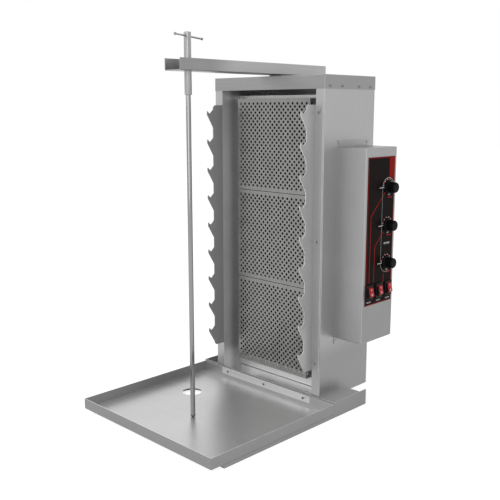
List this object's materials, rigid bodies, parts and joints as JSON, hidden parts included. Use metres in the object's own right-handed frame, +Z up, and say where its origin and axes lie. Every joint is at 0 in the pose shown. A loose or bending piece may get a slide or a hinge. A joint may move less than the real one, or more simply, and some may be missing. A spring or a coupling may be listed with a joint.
{
  "type": "vertical kebab grill",
  "caption": "Upright steel kebab grill: perforated burner screens, upright skewer with handle bar, toothed racks, drip tray and a side control box.",
  "frame": {"origin": "on the surface that the grill stands on, half way across it, straight below the front face of the cabinet", "axes": "+X towards the control box, +Y from the drip tray to the rear panel, +Z up"},
  "size_m": [0.52, 0.5956, 0.897],
  "materials": {
    "steel": "brushed",
    "polished": "satin",
    "screw": "satin",
    "dark_screw": "matte",
    "mineral_board": "matte",
    "bush": "satin",
    "rod": "satin",
    "tip": "satin",
    "ceramic": "matte",
    "element": "matte",
    "overlay": "satin",
    "ceramic_white": "matte",
    "black_plastic": "satin",
    "knob": "satin",
    "rocker": "glossy",
    "grommet": "matte",
    "wiring": "matte"
  },
  "bodies": {
    "frame": {"base_pan": "steel", "base_deck": "polished", "drip_tray": "polished", "tray_strip": "polished", "strip_screws": "dark_screw", "side_panel_left": "steel", "side_panel_right": "steel", "liner_left": "polished", "liner_right": "polished", "burner_plate": "steel", "cabinet_bottom": "steel", "insulation_board": "mineral_board", "heat_shield": "steel", "rear_panel": "steel", "header_cap": "steel", "header_screws": "screw", "arm_pad": "steel", "arm_channel": "steel", "arm_bush": "bush", "arm_bolts": "screw", "rack_left": "steel", "rack_right": "steel", "rack_screws": "screw", "screen_1": "polished", "screen_2": "polished", "screen_3": "polished", "heater_plate_1": "ceramic", "heater_plate_2": "ceramic", "heater_plate_3": "ceramic", "heating_element_1": "element", "heating_element_2": "element", "heating_element_3": "element", "control_box": "steel", "box_screws": "screw", "panel_overlay": "overlay", "regulator_1": "ceramic_white", "regulator_2": "ceramic_white", "regulator_3": "ceramic_white", "switch_housing_1": "black_plastic", "switch_housing_2": "black_plastic", "switch_housing_3": "black_plastic", "terminal_block": "ceramic_white", "cable_gland": "black_plastic", "wire_grommet": "grommet", "wiring_loom": "wiring"},
    "skewer": {"skewer_rod": "rod", "skewer_tip": "tip"},
    "sleeve": {"skewer_sleeve": "rod"},
    "handle": {"handle_bar": "rod"},
    "dial_1": {"knob_1": "knob", "dial_shaft_1": "rod"},
    "dial_2": {"knob_2": "knob", "dial_shaft_2": "rod"},
    "dial_3": {"knob_3": "knob", "dial_shaft_3": "rod"},
    "switch_1": {"rocker_1": "rocker"},
    "switch_2": {"rocker_2": "rocker"},
    "switch_3": {"rocker_3": "rocker"}
  },
  "joints": [
    {"name": "skewer_spin", "type": "hinge", "parent": "frame", "child": "skewer", "pos_m": [0, -0.2505, 0.0107], "axis": [0, 0, 1], "continuous": true},
    {"name": "sleeve_lift", "type": "slide", "parent": "skewer", "child": "sleeve", "axis": [0, 0, 1], "range_m": [0, 0.042]},
    {"name": "handle_slide", "type": "slide", "parent": "sleeve", "child": "handle", "axis": [-0.4051, 0.9143, 0], "range_m": [-0.064, 0.048]},
    {"name": "dial_1_turn", "type": "hinge", "parent": "frame", "child": "dial_1", "pos_m": [0.27, 0.1405, 0.3687], "axis": [-1, 0, 0], "range_deg": [0, 300]},
    {"name": "dial_2_turn", "type": "hinge", "parent": "frame", "child": "dial_2", "pos_m": [0.27, 0.1405, 0.4595], "axis": [-1, 0, 0], "range_deg": [0, 300]},
    {"name": "dial_3_turn", "type": "hinge", "parent": "frame", "child": "dial_3", "pos_m": [0.27, 0.1405, 0.5503], "axis": [-1, 0, 0], "range_deg": [0, 300]},
    {"name": "rocker_1_tip", "type": "hinge", "parent": "frame", "child": "switch_1", "pos_m": [0.267, 0.074, 0.304], "axis": [0, 1, 0], "range_deg": [0, 24]},
    {"name": "rocker_2_tip", "type": "hinge", "parent": "frame", "child": "switch_2", "pos_m": [0.267, 0.112, 0.304], "axis": [0, 1, 0], "range_deg": [0, 24]},
    {"name": "rocker_3_tip", "type": "hinge", "parent": "frame", "child": "switch_3", "pos_m": [0.267, 0.15, 0.304], "axis": [0, 1, 0], "range_deg": [0, 24]}
  ]
}
